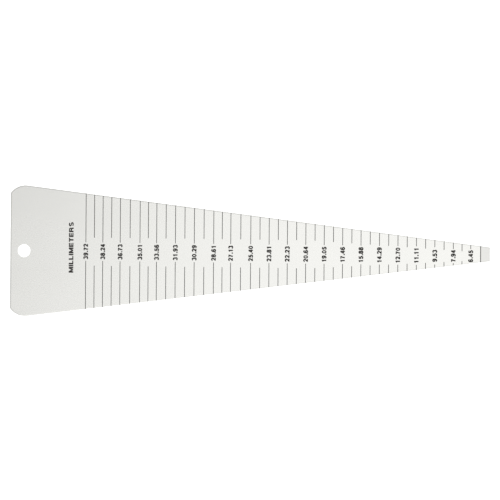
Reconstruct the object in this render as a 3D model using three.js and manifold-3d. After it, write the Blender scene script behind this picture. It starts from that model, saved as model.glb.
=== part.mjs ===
// Ring sizer stick: a flat tapered blade of satin stainless steel, one piece of sheet with a hanging
// hole at its wide end. A ring slides over the tip and stops where the blade is as wide as the ring's
// bore. Etched lines filled with black enamel cross the face, and each labelled one stands where the
// blade is as wide, in millimetres, as its label says. Millimetres, +Z up: the blade lies on its back,
// +X towards the tip, the origin at the middle of the underside.

import * as THREE from 'three';
import { mergeVertices } from 'three/addons/utils/BufferGeometryUtils.js';
import Module from 'manifold-3d';

// Blade blank
const LENGTH = 166.0;
const THICKNESS = 1.0;
const TAPER = 4; // blade length for each millimetre of change in width
const EDGE_ROUND = 0.12; // deburred edge, on both faces and round the hole
const ROUND_STEPS = 2;
const CORNER_RADIUS = 6.4;
const CORNER_CENTRE = 5.2; // from the wide end, so that the end is trimmed into the corner arcs
const CORNER_STEPS = 14;
const HOLE_RADIUS = 2.2;
const HOLE_FROM_END = 4.8;
const HOLE_STEPS = 48;

// Scale
const LABELS = [
  39.72, 38.24, 36.73, 35.01, 33.56, 31.93, 30.29, 28.61, 27.13, 25.4, 23.81,
  22.23, 20.64, 19.05, 17.46, 15.88, 14.29, 12.7, 11.11, 9.53, 7.94, 6.45,
];
const FIRST_LINE = 26.4; // from the wide end to the line of the largest label
const END_LINE_LABEL = 5.6; // blade width at the unlabelled line that ends the scale
const LINE_WIDTH = 0.22;
const END_LINE_WIDTH = 0.26;
const ETCH_DEPTH = 0.1;
const ENAMEL_SINK = 0.02; // the enamel's surface lies this far under the face
const NUMBER_GAP = 6.35; // clear length along a line for its number
const NARROW_GAPS = { 9.53: 5.9, 7.94: 4.8, 6.45: 4.9 }; // and for the numbers of three digits
const SHORT_GAP = 9.6; // clear length between the two halves of a short line
const SHORT_GAP_SHARE = 0.47; // and its share of the blade's width, where that is less
const SCALE_OFFSET = 0.13; // the scale's centre line lies this far off the blade's, towards -Y
const SCALE_DRIFT = 0.0043; // and moves off by this much per millimetre towards the tip
const SHORTEST_LINE = 0.3;

const steel = new THREE.MeshStandardMaterial({ color: 0xdcdcd8, roughness: 0.35, metalness: 1 });
const enamel = new THREE.MeshStandardMaterial({ color: 0x24211e, roughness: 0.6, metalness: 0 });

const wasm = await Module();
wasm.setup();

const wideEnd = -LENGTH / 2;
const firstX = wideEnd + FIRST_LINE;
const sideAngle = Math.atan(1 / (2 * TAPER));

const widthAt = (x) => LABELS[0] - (x - firstX) / TAPER;
const xOfWidth = (width) => firstX + (LABELS[0] - width) * TAPER;

// One corner of the wide end: an arc that runs on from the straight side and meets the end at an angle.
function cornerArc() {
  const centreX = wideEnd + CORNER_CENTRE;
  const centreY = widthAt(centreX) / 2 - CORNER_RADIUS / Math.cos(sideAngle);
  const from = Math.PI / 2 - sideAngle;
  const to = Math.acos(-CORNER_CENTRE / CORNER_RADIUS);
  const points = [];
  for (let i = 0; i <= CORNER_STEPS; i++) {
    const a = THREE.MathUtils.lerp(from, to, i / CORNER_STEPS);
    points.push(new THREE.Vector2(centreX + CORNER_RADIUS * Math.cos(a), centreY + CORNER_RADIUS * Math.sin(a)));
  }
  return points;
}

// The blade seen from above, with its hanging hole.
function bladeShape() {
  const tip = LENGTH / 2;
  const right = [new THREE.Vector2(tip, widthAt(tip) / 2), ...cornerArc()];
  const left = right.map((p) => new THREE.Vector2(p.x, -p.y)).reverse();
  const hole = new THREE.Path().absarc(wideEnd + HOLE_FROM_END, 0, HOLE_RADIUS, 0, 2 * Math.PI, true);
  const shape = new THREE.Shape([...right, ...left]);
  shape.holes.push(hole);
  return shape;
}

function bladeBlank() {
  const blank = new THREE.ExtrudeGeometry(bladeShape(), {
    depth: THICKNESS - 2 * EDGE_ROUND,
    bevelThickness: EDGE_ROUND,
    bevelSize: EDGE_ROUND,
    bevelOffset: -EDGE_ROUND,
    bevelSegments: ROUND_STEPS,
    curveSegments: HOLE_STEPS / 2,
  });
  return toSolid(blank.translate(0, 0, EDGE_ROUND));
}

// The two halves of a line at x, from each side of the blade to a clear gap about the scale's centre.
function lineHalves(x, gap) {
  const centre = -SCALE_OFFSET - SCALE_DRIFT * (x - firstX);
  const side = widthAt(x) / 2;
  const left = { x, side: 'left', low: -side, high: centre - gap / 2 };
  const right = { x, side: 'right', low: centre + gap / 2, high: side };
  return [left, right].filter(({ low, high }) => high - low > SHORTEST_LINE);
}

function labelledLines() {
  return LABELS.flatMap((label) => {
    const name = `line_${label.toFixed(2).replace('.', '_')}`;
    const gap = NARROW_GAPS[label] ?? NUMBER_GAP;
    return lineHalves(xOfWidth(label), gap).map((half) => ({ ...half, name: `${name}_${half.side}` }));
  });
}

// An unlabelled short line stands midway between each two labelled ones.
function shortLines() {
  return LABELS.slice(1).flatMap((label, i) => {
    const x = (xOfWidth(label) + xOfWidth(LABELS[i])) / 2;
    return lineHalves(x, Math.min(SHORT_GAP, SHORT_GAP_SHARE * widthAt(x)));
  });
}

function endLine() {
  const side = END_LINE_LABEL / 2;
  return { name: 'end_line', x: xOfWidth(END_LINE_LABEL), low: -side, high: side, width: END_LINE_WIDTH };
}

// A bar along a line, from the floor of its etched groove up to z = top, past the side of the blade.
function lineBar({ x, low, high, width = LINE_WIDTH }, top) {
  const floor = THICKNESS - ETCH_DEPTH;
  const side = widthAt(x) / 2;
  const from = low === -side ? low - width : low;
  const to = high === side ? high + width : high;
  const bar = new THREE.BoxGeometry(width, to - from, top - floor);
  return toSolid(bar.translate(x, (from + to) / 2, (top + floor) / 2));
}

function toSolid(geometry) {
  const bare = mergeVertices(geometry.clone().deleteAttribute('normal').deleteAttribute('uv'));
  const vertProperties = bare.attributes.position.array;
  const triVerts = new Uint32Array(bare.index.array);
  return new wasm.Manifold(new wasm.Mesh({ numProp: 3, vertProperties, triVerts }));
}

function toGeometry(solid) {
  const { vertProperties, triVerts } = solid.getMesh();
  const geometry = new THREE.BufferGeometry();
  geometry.setAttribute('position', new THREE.BufferAttribute(vertProperties, 3));
  geometry.setIndex(new THREE.BufferAttribute(triVerts, 1));
  geometry.computeVertexNormals();
  return geometry;
}

function etchedBlade(blank, lines) {
  const above = THICKNESS + ETCH_DEPTH;
  return lines.reduce((solid, line) => solid.subtract(lineBar(line, above)), blank);
}

// The enamel fills its groove, and ends flush with the side of the blade.
function enamelFill(blank, line) {
  return blank.intersect(lineBar(line, THICKNESS - ENAMEL_SINK));
}

function addPiece(group, name, solid, material) {
  const mesh = new THREE.Mesh(toGeometry(solid), material);
  mesh.name = name;
  group.add(mesh);
}

const stick = new THREE.Group();
stick.name = 'ring_sizer_stick';

const blank = bladeBlank();
const filledLines = [...labelledLines(), endLine()];
addPiece(stick, 'gauge_blade', etchedBlade(blank, [...filledLines, ...shortLines()]), steel);
for (const line of filledLines) {
  addPiece(stick, line.name, enamelFill(blank, line), enamel);
}

export default stick;
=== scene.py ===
# The looks of the ring sizer stick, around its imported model: a satin steel blade with etched marks filled
# with black enamel. The CAD nodes give the blade's size and every numbered line's place and width.
# Lengths in the constants are millimetres, and the scene is in metres.

import math

import bpy
import numpy as np
from mathutils import Matrix, Quaternion, Vector
from mathutils.geometry import delaunay_2d_cdt


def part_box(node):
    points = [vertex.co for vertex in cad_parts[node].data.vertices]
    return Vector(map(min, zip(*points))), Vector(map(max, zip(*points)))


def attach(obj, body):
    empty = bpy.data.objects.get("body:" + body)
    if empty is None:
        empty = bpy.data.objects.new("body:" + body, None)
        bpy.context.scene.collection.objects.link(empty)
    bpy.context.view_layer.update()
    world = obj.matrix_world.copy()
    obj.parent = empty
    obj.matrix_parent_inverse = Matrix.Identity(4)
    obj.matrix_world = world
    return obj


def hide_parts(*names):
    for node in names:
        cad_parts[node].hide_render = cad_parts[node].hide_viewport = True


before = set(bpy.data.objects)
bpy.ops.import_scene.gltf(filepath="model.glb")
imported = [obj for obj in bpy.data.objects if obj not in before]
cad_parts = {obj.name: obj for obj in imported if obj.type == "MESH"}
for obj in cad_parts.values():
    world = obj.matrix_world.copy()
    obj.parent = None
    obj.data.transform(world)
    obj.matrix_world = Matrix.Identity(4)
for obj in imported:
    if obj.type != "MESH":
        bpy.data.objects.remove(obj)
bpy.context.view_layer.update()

MM = 0.001
ROOT = "root"
BLADE = "gauge_blade"

# Blade
EDGE_WIDTH = 0.5  # the sides are eased this far in from the outline
EDGE_DEPTH = 0.1  # and this far down, as deep as the etching, so that a groove's floor runs out at the side
EDGE_SLOPES = (90, 60, 40, 28, 20, 14, 9, 5, 2, 0)  # degrees off the flat, from the side inwards
CORNER_RADIUS = 6.4
CORNER_CENTRE = 5.2  # from the wide end
CORNER_STEPS = 28
HOLE_RADIUS = 2.2
HOLE_FROM_END = 4.8
HOLE_EDGE_WIDTH = 0.06  # the hole's edge is eased this far outwards
HOLE_STEPS = 96

# Marks
ENAMEL_SINK = 0.02  # the enamel's surface lies this far under the face
SHORT_GAP = 9.6  # clear length between the two halves of a short line
SHORT_GAP_SHARE = 0.47  # and its share of the blade's width, where that is less
SCALE_OFFSET = 0.13  # the scale's centre line lies this far off the blade's, towards -Y
SCALE_DRIFT = 0.0043  # and moves off by this much per millimetre towards the tip
DIGIT_HEIGHT = 1.55
UNIT_WORD = "MILLIMETERS"
UNIT_HEIGHT = 1.6
UNIT_STRETCH = 1.165  # its letters are this much wider than they are drawn
UNIT_FROM_LINE = 5.12  # from the first line back to the middle of the word
UNIT_SIDEWAYS = 1.28  # from the blade's centre line to the middle of the word

MERGE = 1e-4  # plan points closer than this are one point


def mm_box(node):
    low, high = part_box(node)
    return low / MM, high / MM


# ---------------------------------------------------------------------------------------------------------
# The blade's plan, from the CAD blade and its numbered lines
# ---------------------------------------------------------------------------------------------------------

blade_low, blade_high = mm_box(BLADE)
wide_end, tip = blade_low.x, blade_high.x
top = blade_high.z


class Line:
    """One numbered line: its number, place and width, and how far its two halves reach inwards."""

    def __init__(self, text):
        node = "line_" + text.replace(".", "_")
        low, high = mm_box(node + "_right")
        self.text = text
        self.label = float(text)
        self.x = (low.x + high.x) / 2
        self.width = high.x - low.x
        self.right = low.y
        self.left = mm_box(node + "_left")[1].y if node + "_left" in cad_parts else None


line_nodes = [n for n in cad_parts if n.startswith("line_")]
texts = sorted(
    {n.removeprefix("line_").rsplit("_", 1)[0].replace("_", ".") for n in line_nodes},
    key=float,
    reverse=True,
)
lines = [Line(t) for t in texts]
first = lines[0]
taper = (lines[-1].x - first.x) / (first.label - lines[-1].label)
side_slope = 1 / (2 * taper)


def half_width(x):
    return (first.label - (x - first.x) / taper) / 2


def scale_centre(x):
    return -SCALE_OFFSET - SCALE_DRIFT * (x - first.x)


# ---------------------------------------------------------------------------------------------------------
# Lettering: bold upright strokes on a height of 1, as lists of (path, thickness). x runs along the text.
# ---------------------------------------------------------------------------------------------------------

STEM = 0.285
BAR = 0.85 * STEM
ZERO_STROKE = 0.87 * STEM  # thinner than a stem, so that the tiles of its narrow ring don't cross
LOW_BAR, HIGH_BAR = BAR / 2, 1 - BAR / 2  # middles of the bars along a letter's foot and head
BOWL = 0.69  # height of the middle of the R's bowl
ARC_STEP = 20  # degrees from one point of an arc to the next, or a little more or less
DIGIT_WIDTH = 0.68
DIGIT_ADVANCE = 0.775  # from one digit to the next
POINT_ADVANCE = 0.39
LETTER_SPACE = 0.175
LETTER_WIDTHS = {"M": 0.98, "I": 0.20, "L": 0.66, "E": 0.72, "T": 0.76, "R": 0.84, "S": 0.78}


def arc(cx, cy, rx, ry, start, end):
    """Points on an ellipse's arc, from one angle to another in degrees, either way round."""
    steps = max(2, round(abs(end - start) / ARC_STEP))
    angles = np.radians(np.linspace(start, end, steps + 1))
    return [(cx + rx * math.cos(a), cy + ry * math.sin(a)) for a in angles]


def ring(cx, cy, rx, ry):
    return arc(cx, cy, rx, ry, 0, 360)


def turned(strokes, width):
    """The same strokes turned by half a turn, which makes a 9 of a 6."""
    return [([(width - x, 1 - y) for x, y in path], thickness) for path, thickness in strokes]


SIX = [
    (ring(0.34, 0.31, 0.23, 0.215), STEM),
    (arc(0.37, 0.50, 0.26, 0.41, 38, 190), STEM),
]

GLYPHS = {
    "0": [(ring(0.34, 0.5, 0.235, 0.405), ZERO_STROKE)],
    "1": [
        ([(0.40, 0), (0.40, 1)], STEM),
        ([(0.13, 0.735), (0.28, 0.78), (0.38, 0.93)], BAR),
    ],
    "2": [
        (arc(0.335, 0.69, 0.225, 0.225, 175, -28) + [(0.32, 0.30), (0.15, 0.12)], STEM),
        ([(0.03, LOW_BAR), (0.655, LOW_BAR)], BAR),
    ],
    "3": [
        (arc(0.325, 0.715, 0.205, 0.2, 165, -80), STEM),
        (arc(0.33, 0.30, 0.235, 0.215, 85, -165), STEM),
    ],
    "4": [
        ([(0.47, 0), (0.47, 1)], STEM),
        ([(0.01, 0.305), (0.68, 0.305)], BAR),
        ([(0.44, 0.96), (0.08, 0.34)], BAR),
    ],
    "5": [
        ([(0.15, HIGH_BAR), (0.62, HIGH_BAR)], BAR),
        ([(0.21, 0.95), (0.145, 0.44)], BAR),
        (arc(0.335, 0.325, 0.235, 0.235, 142, -165), STEM),
    ],
    "6": SIX,
    "7": [
        ([(0.04, HIGH_BAR), (0.62, HIGH_BAR)], BAR),
        ([(0.56, 0.90), (0.36, 0.52), (0.27, 0)], STEM),
    ],
    "8": [
        (ring(0.34, 0.72, 0.195, 0.19), STEM),
        (ring(0.34, 0.30, 0.235, 0.21), STEM),
    ],
    "9": turned(SIX, DIGIT_WIDTH),
    ".": [([(0.195, 0), (0.195, STEM)], STEM)],
    "M": [
        ([(0.10, 0), (0.10, 1)], STEM),
        ([(0.88, 0), (0.88, 1)], STEM),
        ([(0.15, 0.97), (0.49, 0.08)], BAR),
        ([(0.83, 0.97), (0.49, 0.08)], BAR),
    ],
    "I": [([(0.10, 0), (0.10, 1)], STEM)],
    "L": [
        ([(0.10, 0), (0.10, 1)], STEM),
        ([(0.10, LOW_BAR), (0.66, LOW_BAR)], BAR),
    ],
    "E": [
        ([(0.10, 0), (0.10, 1)], STEM),
        ([(0.10, LOW_BAR), (0.72, LOW_BAR)], BAR),
        ([(0.10, 0.51), (0.68, 0.51)], BAR),
        ([(0.10, HIGH_BAR), (0.71, HIGH_BAR)], BAR),
    ],
    "T": [
        ([(0.38, 0), (0.38, 0.9)], STEM),
        ([(0, HIGH_BAR), (0.76, HIGH_BAR)], BAR),
    ],
    "R": [
        ([(0.10, 0), (0.10, 1)], STEM),
        (
            [(0.10, HIGH_BAR)]
            + arc(0.48, BOWL, 0.2, HIGH_BAR - BOWL, 90, -90)
            + [(0.10, 2 * BOWL - HIGH_BAR)],
            BAR,
        ),
        ([(0.42, 0.50), (0.60, 0.42), (0.73, 0)], STEM),
    ],
    "S": [(arc(0.38, 0.715, 0.26, 0.195, 20, 235) + arc(0.40, 0.285, 0.28, 0.195, 55, -160), BAR)],
}


def text_layout(text):
    """(glyph, place along the text) for each character, and the text's whole width."""
    places, x = [], 0.0
    digits = text[0].isdigit()
    for c in text:
        places.append((c, x))
        if not digits:
            x += LETTER_WIDTHS[c] + LETTER_SPACE
        else:
            x += POINT_ADVANCE if c == "." else DIGIT_ADVANCE
    return places, x - (DIGIT_ADVANCE - DIGIT_WIDTH if digits else LETTER_SPACE)


def stroke_quads(path, thickness):
    """A stroke as a row of four-cornered tiles with mitred joints."""
    pts = np.array(path, float)
    closed = np.allclose(pts[0], pts[-1])
    run = np.diff(pts, axis=0)
    run /= np.linalg.norm(run, axis=1)[:, None]
    normals = np.stack([-run[:, 1], run[:, 0]], 1)
    before = np.vstack([normals[-1] if closed else normals[0], normals])
    after = np.vstack([normals, normals[0] if closed else normals[-1]])
    mitre = before + after
    mitre /= (mitre * after).sum(1)[:, None]
    left, right = pts + mitre * thickness / 2, pts - mitre * thickness / 2
    return [[right[i], right[i + 1], left[i + 1], left[i]] for i in range(len(run))]


def text_quads(text, height, stretch, x, y):
    """The text's tiles in the blade's plan. It reads towards +Y, its letters' heads point to -X."""
    places, width = text_layout(text)
    quads = []
    for c, start in places:
        for path, thickness in GLYPHS[c]:
            for quad in stroke_quads(path, thickness):
                plan_x = [x - (q[1] - 0.5) * height for q in quad]
                plan_y = [y + (q[0] + start - width / 2) * height * stretch for q in quad]
                quads.append(list(zip(plan_x, plan_y)))
    return quads


# ---------------------------------------------------------------------------------------------------------
# Outlines: each point of the blade's edge, with the inset that leads from it to the flat of the face
# ---------------------------------------------------------------------------------------------------------

GROOVE_Z = top - EDGE_DEPTH
ENAMEL_TOP = top - ENAMEL_SINK
SIDE_STRETCH = math.hypot(1, side_slope)  # a distance square to a side, seen along Y


class Edge:
    """A point of an outline, its inset point, and the mark whose groove runs out from here to the next."""

    def __init__(self, x, y, inset_x, inset_y, mark=None):
        self.point = (x, y)
        self.inset = (inset_x, inset_y)
        self.mark = mark

    def at(self, level):
        share, z = level
        x, y = (p + share * (q - p) for p, q in zip(self.point, self.inset))
        return (x, y, z)


def rounded(depth, start):
    """Levels of an eased edge, a quarter ellipse from side to flat: (share of the inset, height)."""
    levels = []
    for slope in EDGE_SLOPES[:-1]:
        a = math.atan(depth / EDGE_WIDTH / math.tan(math.radians(slope)))
        levels.append((start + (1 - start) * (1 - math.cos(a)), GROOVE_Z + depth * math.sin(a)))
    return levels + [(1.0, GROOVE_Z + depth)]


FACE_EDGE = rounded(EDGE_DEPTH, 0)
ENAMEL_EDGE = rounded(EDGE_DEPTH - ENAMEL_SINK, ENAMEL_SINK / EDGE_WIDTH)
BACK_EDGE = [(share, top - z) for share, z in reversed(FACE_EDGE)]
GROOVE_FLOOR = (1.0, GROOVE_Z)


def side_edge(x, mark=None):
    y = half_width(x)
    return Edge(x, y, x, y - EDGE_WIDTH * SIDE_STRETCH, mark)


def corner_edges():
    """The arc at one corner of the wide end, and the angle where the end cuts it off."""
    slope_angle = math.atan(side_slope)
    cx = wide_end + CORNER_CENTRE
    cy = half_width(cx) - CORNER_RADIUS * SIDE_STRETCH
    inner = CORNER_RADIUS - EDGE_WIDTH
    edges = []
    last = math.acos(-CORNER_CENTRE / CORNER_RADIUS)
    for a in np.linspace(math.pi / 2 - slope_angle, last, CORNER_STEPS + 1)[:-1]:
        c, s = math.cos(a), math.sin(a)
        edges.append(Edge(cx + CORNER_RADIUS * c, cy + CORNER_RADIUS * s, cx + inner * c, cy + inner * s))
    cut_y = cy + math.sqrt(CORNER_RADIUS**2 - CORNER_CENTRE**2)
    inset_y = cy + math.sqrt(inner**2 - (CORNER_CENTRE - EDGE_WIDTH) ** 2)
    edges.append(Edge(wide_end, cut_y, wide_end + EDGE_WIDTH, inset_y))
    return edges


def side_run(cuts):
    """One side from the tip to the wide end, as if it were the +Y side. cuts are (x, width, mark)."""
    corner_x = tip - EDGE_WIDTH
    corner_y = half_width(corner_x) - EDGE_WIDTH * SIDE_STRETCH
    run = [Edge(tip, half_width(tip), corner_x, corner_y)]
    for x, width, mark in sorted(cuts, reverse=True):
        run.append(side_edge(x + width / 2, mark))
        run.append(side_edge(x - width / 2))
    return run + corner_edges()


def mirrored(run):
    """The same run on the -Y side, in the opposite order. A groove's mark moves to its new first point."""
    flipped = []
    for edge, before in zip(reversed(run), list(reversed(run))[1:] + [None]):
        mark = before.mark if before else None
        flipped.append(Edge(edge.point[0], -edge.point[1], edge.inset[0], -edge.inset[1], mark))
    return flipped


def hole_ring():
    cx = wide_end + HOLE_FROM_END
    outer = HOLE_RADIUS + HOLE_EDGE_WIDTH
    ring_edges = []
    for k in range(HOLE_STEPS):
        a = -2 * math.pi * k / HOLE_STEPS
        c, s = math.cos(a), math.sin(a)
        ring_edges.append(Edge(cx + HOLE_RADIUS * c, HOLE_RADIUS * s, cx + outer * c, outer * s))
    return ring_edges


# ---------------------------------------------------------------------------------------------------------
# Marks: name of the enamel piece, and its outlines in the plan
# ---------------------------------------------------------------------------------------------------------


def enamel_name(line):
    return "enamel_" + line.text.replace(".", "_")


def all_bars():
    """(mark, x, width, low, high) of every line half, and of the end line in one piece. None as low or
    high is an end that meets the side."""
    bars = []
    for line in lines:
        bars.append((enamel_name(line), line.x, line.width, line.right, None))
        if line.left is not None:
            bars.append((enamel_name(line), line.x, line.width, None, line.left))
    for a, b in zip(lines, lines[1:]):
        x = (a.x + b.x) / 2
        gap = min(SHORT_GAP, 2 * SHORT_GAP_SHARE * half_width(x))
        bars.append(("enamel_short_lines", x, a.width, scale_centre(x) + gap / 2, None))
        bars.append(("enamel_short_lines", x, a.width, None, scale_centre(x) - gap / 2))
    low, high = mm_box("end_line")
    bars.append(("enamel_end_line", (low.x + high.x) / 2, high.x - low.x, None, None))
    return bars


def bar_outline(x, width, low, high):
    """A bar's four corners. At the side they are the inset points, so that the groove runs out there."""
    a, b = side_edge(x - width / 2).inset, side_edge(x + width / 2).inset
    low_a, low_b = ((a[0], -a[1]), (b[0], -b[1])) if low is None else ((a[0], low), (b[0], low))
    high_a, high_b = (a, b) if high is None else ((a[0], high), (b[0], high))
    return [low_a, low_b, high_b, high_a]


def scale_marks():
    marks = [(mark, bar_outline(*size)) for mark, *size in all_bars()]
    for line in lines:
        y = scale_centre(line.x)
        marks += [(enamel_name(line), q) for q in text_quads(line.text, DIGIT_HEIGHT, 1.0, line.x, y)]
    word = text_quads(UNIT_WORD, UNIT_HEIGHT, UNIT_STRETCH, first.x - UNIT_FROM_LINE, UNIT_SIDEWAYS)
    return marks + [("enamel_unit_word", q) for q in word]


# ---------------------------------------------------------------------------------------------------------
# Solids: the etched blade and its enamel, built together so that each fill matches its groove
# ---------------------------------------------------------------------------------------------------------


class Shell:
    """A closed mesh under construction, in millimetres. Corners at one place are shared. A face is flat,
    round or side: all edges of a flat one are sharp, and a side one takes the second material."""

    def __init__(self):
        self.index = {}
        self.faces = []
        self.kinds = []

    def face(self, corners, kind="flat", flip=False):
        ids = [self.index.setdefault(c, len(self.index)) for c in corners]
        self.faces.append(ids[::-1] if flip else ids)
        self.kinds.append(kind)

    def to_object(self, name, materials):
        mesh = bpy.data.meshes.new(name)
        points = np.array(list(self.index), float) * MM
        mesh.from_pydata(points.tolist(), [], self.faces, shade_flat=False)
        mesh.polygons.foreach_set("material_index", [int(k == "side") for k in self.kinds])
        sharp = [False] * len(mesh.edges)
        for polygon, kind in zip(mesh.polygons, self.kinds):
            if kind == "flat":
                for i in polygon.loop_indices:
                    sharp[mesh.loops[i].edge_index] = True
        mesh.edges.foreach_set("use_edge_sharp", sharp)
        for m in materials:
            mesh.materials.append(m)
        made = bpy.data.objects.new(name, mesh)
        bpy.context.scene.collection.objects.link(made)
        return made


def triangulated(outline, hole, marks):
    """Triangles of the flat between outline and hole. Each is (three plan points, the mark it is in)."""
    polygons = [outline, hole[::-1]] + [q for _, q in marks]
    outline_id, hole_id, first_mark_id = range(3)
    points, faces = [], []
    for polygon in polygons:
        area = sum(a[0] * b[1] - b[0] * a[1] for a, b in zip(polygon, polygon[1:] + polygon[:1]))
        ordered = polygon if area > 0 else polygon[::-1]
        faces.append(list(range(len(points), len(points) + len(ordered))))
        points += ordered
    result = delaunay_2d_cdt([Vector(p) for p in points], [], faces, 0, MERGE)
    verts, _, triangles, source_points, _, source_faces = result
    plan = [points[min(ids)] if ids else tuple(v) for v, ids in zip(verts, source_points)]
    out = []
    for triangle, sources in zip(triangles, source_faces):
        if outline_id in sources and hole_id not in sources:
            inside = [marks[i - first_mark_id][0] for i in sources if i >= first_mark_id]
            out.append((tuple(plan[i] for i in triangle), inside[0] if inside else None))
    return out


def raised(points, z):
    return [(x, y, z) for x, y in points]


def fill_flat(blade, enamel, triangles):
    """The face with its grooves, and the enamel in them, from the marked triangles of the plan."""
    owner = {}
    for points, mark in triangles:
        for a, b in zip(points, points[1:] + points[:1]):
            owner[a, b] = mark
    for points, mark in triangles:
        if mark is None:
            blade.face(raised(points, top))
            continue
        blade.face(raised(points, GROOVE_Z))
        enamel[mark].face(raised(points, ENAMEL_TOP))
        enamel[mark].face(raised(points, GROOVE_Z), flip=True)
        for a, b in zip(points, points[1:] + points[:1]):
            if owner.get((b, a), "outside") is None:
                blade.face(raised((a, b), top) + raised((b, a), GROOVE_Z))
                enamel[mark].face(raised((a, b), ENAMEL_TOP) + raised((b, a), GROOVE_Z), flip=True)


def groove_mouth(shell, a, b, edge, flip):
    """Where a groove runs out through the rounded edge, from a to b: its floor and its two walls."""
    shell.face([a.at(GROOVE_FLOOR), a.at(edge[0]), b.at(edge[0]), b.at(GROOVE_FLOOR)], flip=flip)
    for low, high in zip(edge, edge[1:]):
        shell.face([a.at(GROOVE_FLOOR), a.at(high), a.at(low)], flip=flip)
        shell.face([b.at(GROOVE_FLOOR), b.at(low), b.at(high)], flip=flip)


def strip(shell, a, b, levels, kind="round"):
    for low, high in zip(levels, levels[1:]):
        shell.face([a.at(low), b.at(low), b.at(high), a.at(high)], kind)


def fill_edge(blade, enamel, ring_edges):
    """The rounded edge and side along one outline, with the ends of the grooves that cross it."""
    for a, b in zip(ring_edges, ring_edges[1:] + ring_edges[:1]):
        strip(blade, a, b, BACK_EDGE)
        strip(blade, a, b, [BACK_EDGE[-1], FACE_EDGE[0]], "side")
        if a.mark is None:
            strip(blade, a, b, FACE_EDGE)
            continue
        groove_mouth(blade, a, b, FACE_EDGE, flip=False)
        strip(enamel[a.mark], a, b, ENAMEL_EDGE)
        groove_mouth(enamel[a.mark], a, b, ENAMEL_EDGE, flip=True)


def build_solids():
    bars = all_bars()
    right = side_run([(x, w, mark) for mark, x, w, low, high in bars if high is None])
    left = mirrored(side_run([(x, w, mark) for mark, x, w, low, high in bars if low is None]))
    outline, hole = right + left, hole_ring()
    marks = scale_marks()
    blade = Shell()
    enamel = {mark: Shell() for mark, _ in marks}
    flat, flat_hole = [e.inset for e in outline], [e.inset for e in hole]
    fill_flat(blade, enamel, triangulated(flat, flat_hole, marks))
    for points, _ in triangulated(flat, flat_hole, []):
        blade.face(raised(points, 0.0), flip=True)
    fill_edge(blade, enamel, outline)
    fill_edge(blade, enamel, hole)
    return blade, enamel


# ---------------------------------------------------------------------------------------------------------
# Materials
# ---------------------------------------------------------------------------------------------------------


def node(tree, kind, inputs=None, **settings):
    """A new node. Each input is a value, or another node's output to link from. Of a Mix node's inputs,
    0 is the factor, 2 and 3 are its two values and 6 and 7 its two colours."""
    made = tree.nodes.new(kind)
    for key, value in settings.items():
        setattr(made, key, value)
    for key, value in (inputs or {}).items():
        if isinstance(value, bpy.types.NodeSocket):
            tree.links.new(value, made.inputs[key])
        else:
            made.inputs[key].default_value = value
    return made


def math_node(tree, operation, a, b):
    return node(tree, "ShaderNodeMath", {0: a, 1: b}, operation=operation).outputs[0]


def blend_value(tree, factor, low, high):
    """low where factor is 0 and high where it is 1."""
    return node(tree, "ShaderNodeMapRange", {"Value": factor, "To Min": low, "To Max": high}).outputs[0]


def product(tree, first, *others):
    for other in others:
        first = math_node(tree, "MULTIPLY", first, other)
    return first


def noise(tree, place, per_mm, turn=0.0, detail=2.0, seed=0.0):
    """Noise from 0 to 1 with so many features per millimetre along each axis, turned about Z."""
    rotation = (0, 0, math.radians(turn))
    turned_place = node(tree, "ShaderNodeMapping", {"Vector": place, "Rotation": rotation}).outputs[0]
    scaled = node(
        tree,
        "ShaderNodeMapping",
        {"Vector": turned_place, "Scale": [n / MM for n in per_mm], "Location": (seed, seed, seed)},
    ).outputs[0]
    made = node(tree, "ShaderNodeTexNoise", {"Vector": scaled, "Scale": 1.0, "Detail": detail})
    return made.outputs["Fac"]


def rise(tree, value, start, end):
    """0 where the value is under start, rising to 1 at end."""
    return node(tree, "ShaderNodeMapRange", {"Value": value, "From Min": start, "From Max": end}).outputs[0]


def bumps(tree, height):
    made = node(tree, "ShaderNodeBump", {"Height": height, "Distance": 1.0, "Strength": 1.0})
    return made.outputs[0]


def new_material(name):
    material = bpy.data.materials.new(name)
    material.use_nodes = True
    tree = material.node_tree
    place = node(tree, "ShaderNodeTexCoord").outputs["Object"]
    return material, tree, tree.nodes["Principled BSDF"], place


def tint(tree, colour, brightness):
    scaled = node(tree, "ShaderNodeVectorMath", {0: colour, "Scale": brightness}, operation="SCALE")
    return scaled.outputs[0]


# In the values below, PER_MM is a noise's features per millimetre along X, Y and Z. A shade multiplies
# the colour. A pair of shades or of roughnesses is for the noise's 0 and for its 1. Depths are
# millimetres.

STEEL_COLOUR = (0.815, 0.813, 0.785)
STEEL_ANISOTROPY = 0.2  # round X, along which the face is ground
GRAIN_PER_MM = (0.4, 14, 14)
GRAIN_SHADES = (0.99, 1.01)
GRAIN_ROUGHNESS = (0.255, 0.285)
GRAIN_DEPTH = 0.0001
STREAKS_PER_MM = (0.012, 1.3, 1.3)
STREAK_SHADES = (0.995, 1.005)
CLOUDS_PER_MM = (0.035, 0.05, 0.05)
CLOUD_SHADES = (0.96, 1.04)
CLOUD_ROUGHNESS = (-0.02, 0.02)  # added to the grain's
SCRATCHES_PER_MM = (0.12, 5, 5)
SCRATCH_TURNS = ((9, 1.3), (-24, 5.2), (58, 9.4))  # degrees, and the noise's seed
SCRATCH_CREST = (0.73, 0.78)  # only the noise's crests are scratches
SCRATCH_SHADE = 0.95  # and are a little darker
SCRATCH_DEPTH = 0.0008
TIP_GRAIN_PER_MM = (9, 0.3, 0.3)  # the tip past the end line is ground across
TIP_SHADE = 0.9  # and is darker
TIP_ROUGHNESS = 0.05  # and rougher by this
PAINTED_RIM_SHADE = 0.9  # painted shade: the eased edge's colour is this much darker where it tilts
RIM_NORMAL = (0.995, 0.9998)  # how upright the surface is where that shade is full, and where it ends


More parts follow.
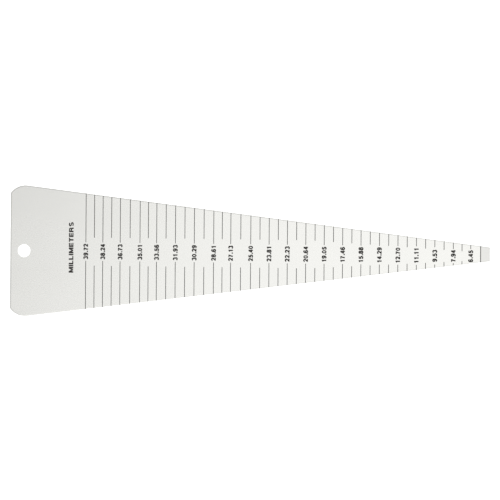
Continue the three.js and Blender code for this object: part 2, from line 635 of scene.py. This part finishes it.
def scratches(tree, place):
    found = 0.0
    for turn, seed in SCRATCH_TURNS:
        crest = rise(tree, noise(tree, place, SCRATCHES_PER_MM, turn, 1, seed), *SCRATCH_CREST)
        found = math_node(tree, "MAXIMUM", crest, found)
    return found


# Painted shade on the eased edges: the colour darkens where the surface tilts off the flat.
def painted_rim_shade(tree):
    normal = node(tree, "ShaderNodeNewGeometry").outputs["Normal"]
    upright = node(tree, "ShaderNodeSeparateXYZ", {0: normal}).outputs["Z"]
    return blend_value(tree, rise(tree, upright, *RIM_NORMAL), PAINTED_RIM_SHADE, 1.0)


def face_steel():
    """Satin steel, ground lengthwise: fine grain, faint streaks and clouds, a few stray scratches, and
    painted shade on the eased edges.
    """
    material, tree, shader, place = new_material("satin_steel")
    grain = noise(tree, place, GRAIN_PER_MM, detail=3)
    streaks = noise(tree, place, STREAKS_PER_MM, seed=3.1)
    clouds = noise(tree, place, CLOUDS_PER_MM, detail=3, seed=7.7)
    scratched = scratches(tree, place)
    end_x = mm_box("end_line")[1].x * MM
    along = node(tree, "ShaderNodeSeparateXYZ", {0: place}).outputs["X"]
    past_end = math_node(tree, "GREATER_THAN", along, end_x)
    cross_grain = noise(tree, place, TIP_GRAIN_PER_MM, seed=2.2)
    shade = product(
        tree,
        blend_value(tree, streaks, *STREAK_SHADES),
        blend_value(tree, clouds, *CLOUD_SHADES),
        blend_value(tree, grain, *GRAIN_SHADES),
        blend_value(tree, past_end, 1.0, TIP_SHADE),
        blend_value(tree, scratched, 1.0, SCRATCH_SHADE),
        # painted shade on the eased edge
        painted_rim_shade(tree),
    )
    grain_rough = blend_value(tree, grain, *GRAIN_ROUGHNESS)
    rough = math_node(tree, "ADD", grain_rough, blend_value(tree, clouds, *CLOUD_ROUGHNESS))
    rough = math_node(tree, "ADD", rough, blend_value(tree, past_end, 0.0, TIP_ROUGHNESS))
    ground = node(tree, "ShaderNodeMix", {0: past_end, 2: grain, 3: cross_grain}).outputs[0]
    height = math_node(tree, "MULTIPLY", ground, GRAIN_DEPTH * MM)
    cut = math_node(tree, "MULTIPLY", scratched, SCRATCH_DEPTH * MM)
    around_x = node(tree, "ShaderNodeTangent", direction_type="RADIAL", axis="X")
    for key, value in {
        "Base Color": tint(tree, STEEL_COLOUR, shade),
        "Roughness": rough,
        "Normal": bumps(tree, math_node(tree, "SUBTRACT", height, cut)),
        "Tangent": around_x.outputs[0],
    }.items():
        tree.links.new(value, shader.inputs[key])
    shader.inputs["Metallic"].default_value = 1.0
    shader.inputs["Anisotropic"].default_value = STEEL_ANISOTROPY
    return material


EDGE_COLOUR = (0.62, 0.62, 0.60)
EDGE_MARKS_PER_MM = (5, 5, 0.6)
EDGE_MARK_SHADES = (0.88, 1.1)
EDGE_MARK_DEPTH = 0.003
EDGE_WEAR_PER_MM = (0.25, 0.25, 0.25)
EDGE_WEAR_SHADES = (0.92, 1.08)
EDGE_ROUGHNESS = (0.34, 0.48)


def edge_steel():
    """The cut and deburred edge: duller, with fine marks across the sheet's thickness."""
    material, tree, shader, place = new_material("edge_steel")
    marks = noise(tree, place, EDGE_MARKS_PER_MM, detail=3)
    wear = noise(tree, place, EDGE_WEAR_PER_MM, seed=4.0)
    shade = product(
        tree,
        blend_value(tree, marks, *EDGE_MARK_SHADES),
        blend_value(tree, wear, *EDGE_WEAR_SHADES),
    )
    height = math_node(tree, "MULTIPLY", marks, EDGE_MARK_DEPTH * MM)
    tree.links.new(tint(tree, EDGE_COLOUR, shade), shader.inputs["Base Color"])
    tree.links.new(blend_value(tree, marks, *EDGE_ROUGHNESS), shader.inputs["Roughness"])
    tree.links.new(bumps(tree, height), shader.inputs["Normal"])
    shader.inputs["Metallic"].default_value = 1.0
    return material


INK_DARK = (0.010, 0.009, 0.008, 1)
INK_WORN = (0.030, 0.026, 0.022, 1)
INK_PATCHES_PER_MM = (1.4, 1.4, 1.4)
INK_PITS_PER_MM = (16, 16, 16)
INK_PIT_DEPTH = 0.004
INK_ROUGHNESS = (0.45, 0.65)
INK_GLOSS = 0.35


def black_enamel():
    """Matt enamel wiped into the etching: near black, a little uneven in colour, gloss and surface."""
    material, tree, shader, place = new_material("black_enamel")
    patches = noise(tree, place, INK_PATCHES_PER_MM, detail=3)
    pits = noise(tree, place, INK_PITS_PER_MM, seed=6.0)
    mixed = node(tree, "ShaderNodeMix", {0: patches, 6: INK_DARK, 7: INK_WORN}, data_type="RGBA")
    height = math_node(tree, "MULTIPLY", pits, INK_PIT_DEPTH * MM)
    tree.links.new(mixed.outputs[2], shader.inputs["Base Color"])
    tree.links.new(blend_value(tree, patches, *INK_ROUGHNESS), shader.inputs["Roughness"])
    tree.links.new(bumps(tree, height), shader.inputs["Normal"])
    shader.inputs["Specular IOR Level"].default_value = INK_GLOSS
    return material


FLOOR_COLOUR = (0.85, 0.85, 0.85)
FLOOR_GRAIN_PER_MM = (0.6, 0.6, 0.6)
FLOOR_SHADES = (0.985, 1.0)
FLOOR_ROUGHNESS = 0.7
FLOOR_GLOSS = 0.1
TABLE_GLOW = 0.9


def floor_acrylic():
    """A white acrylic light table, lit from below so that thin things on it cast no dark shadow."""
    material, tree, shader, place = new_material("floor_acrylic")
    grain = noise(tree, place, FLOOR_GRAIN_PER_MM, detail=4)
    colour = tint(tree, FLOOR_COLOUR, blend_value(tree, grain, *FLOOR_SHADES))
    tree.links.new(colour, shader.inputs["Base Color"])
    shader.inputs["Roughness"].default_value = FLOOR_ROUGHNESS
    shader.inputs["Specular IOR Level"].default_value = FLOOR_GLOSS
    shader.inputs["Emission Color"].default_value = (1, 1, 1, 1)
    shader.inputs["Emission Strength"].default_value = TABLE_GLOW
    return material


# ---------------------------------------------------------------------------------------------------------
# Pieces
# ---------------------------------------------------------------------------------------------------------

blade_shell, enamel_shells = build_solids()

blade = blade_shell.to_object("blade", [face_steel(), edge_steel()])
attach(blade, ROOT)
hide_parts(BLADE)

enamel_material = black_enamel()
for name, shell in enamel_shells.items():
    piece = shell.to_object(name, [enamel_material])
    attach(piece, ROOT)
    mark = name.removeprefix("enamel_")
    cad_nodes = [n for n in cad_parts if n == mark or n.startswith("line_" + mark + "_")]
    if cad_nodes:  # there are none for the short lines and the unit word
        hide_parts(*cad_nodes)

# ---------------------------------------------------------------------------------------------------------
# Floor, light and camera
# ---------------------------------------------------------------------------------------------------------

FLOOR_SIZE = 8.0  # metres
ROOM_LIGHT = 0.69  # the room's mean brightness
WINDOW_LIGHT = 0.04  # how much brighter it is towards its window side
WINDOW_SIDE = (0.7, -0.7, 0.0)
OVERHEAD_CENTRE = (0.102, -0.126, 0.6)  # metres
OVERHEAD_SIZE = (0.676, 1.046)  # metres
OVERHEAD_TURN = -60.6  # degrees
OVERHEAD_WATTS = 1.109
CAMERA_DISTANCE = 2.5  # metres
CAMERA_TILT = (9.18, 0.08)  # degrees off straight above, towards +X and +Y
CAMERA_ROLL = 0.437  # degrees
CAMERA_CLIP = (0.1, 50)  # metres
CAMERA_CENTRE = (0.444, 0.845)  # where the middle of the picture falls on the face
SENSOR_WIDTH = 36
VIEW_WIDTH = 170.87  # of the face that the picture takes in


def add_floor():
    half = FLOOR_SIZE / 2
    mesh = bpy.data.meshes.new("floor")
    corners = [(-half, -half, 0), (half, -half, 0), (half, half, 0), (-half, half, 0)]
    mesh.from_pydata(corners, [], [(0, 1, 2, 3)])
    mesh.materials.append(floor_acrylic())
    made = bpy.data.objects.new("floor", mesh)
    bpy.context.scene.collection.objects.link(made)


def add_overhead():
    """A soft box that the camera doesn't see, facing the middle of the blade and turned about that line."""
    lamp = bpy.data.lights.new("overhead", "AREA")
    lamp.shape = "RECTANGLE"
    lamp.size, lamp.size_y = OVERHEAD_SIZE
    lamp.energy = OVERHEAD_WATTS
    made = bpy.data.objects.new("overhead", lamp)
    made.location = OVERHEAD_CENTRE
    aim = Vector(OVERHEAD_CENTRE).to_track_quat("Z", "Y")
    made.rotation_euler = (aim @ Quaternion((0, 0, 1), math.radians(OVERHEAD_TURN))).to_euler()
    made.visible_camera = False
    bpy.context.scene.collection.objects.link(made)


def add_world():
    """A pale room, brighter on its window side, and plain white to the camera."""
    world = bpy.data.worlds.new("room")
    bpy.context.scene.world = world
    world.use_nodes = True
    tree = world.node_tree
    place = node(tree, "ShaderNodeTexCoord").outputs["Generated"]
    towards = node(tree, "ShaderNodeVectorMath", {0: place, 1: WINDOW_SIDE}, operation="DOT_PRODUCT")
    strength = math_node(tree, "MULTIPLY_ADD", towards.outputs["Value"], WINDOW_LIGHT)
    strength.node.inputs[2].default_value = ROOM_LIGHT
    to_camera = node(tree, "ShaderNodeLightPath").outputs["Is Camera Ray"]
    shown = node(tree, "ShaderNodeMix", {0: to_camera, 2: strength, 3: 1.0}).outputs[0]
    background = tree.nodes["Background"]
    background.inputs["Color"].default_value = (1, 1, 1, 1)
    tree.links.new(shown, background.inputs["Strength"])


def add_camera():
    away = Vector([math.tan(math.radians(tilt)) for tilt in CAMERA_TILT] + [1]).normalized()
    right = Vector((0, 1, 0)).cross(away).normalized()
    up = away.cross(right)
    roll = math.radians(CAMERA_ROLL)
    c, s = math.cos(roll), math.sin(roll)
    turned_axes = Matrix((right * c + up * s, up * c - right * s, away)).transposed().to_4x4()
    lens = bpy.data.cameras.new("camera")
    lens.sensor_width = SENSOR_WIDTH
    lens.lens = lens.sensor_width * CAMERA_DISTANCE / (VIEW_WIDTH * MM)
    lens.clip_start, lens.clip_end = CAMERA_CLIP
    made = bpy.data.objects.new("camera", lens)
    centre = Vector((CAMERA_CENTRE[0], CAMERA_CENTRE[1], top)) * MM
    made.matrix_world = Matrix.Translation(centre + away * CAMERA_DISTANCE) @ turned_axes
    bpy.context.scene.collection.objects.link(made)
    bpy.context.scene.camera = made


add_floor()
add_world()
add_overhead()
add_camera()
bpy.context.scene.view_settings.view_transform = "Standard"
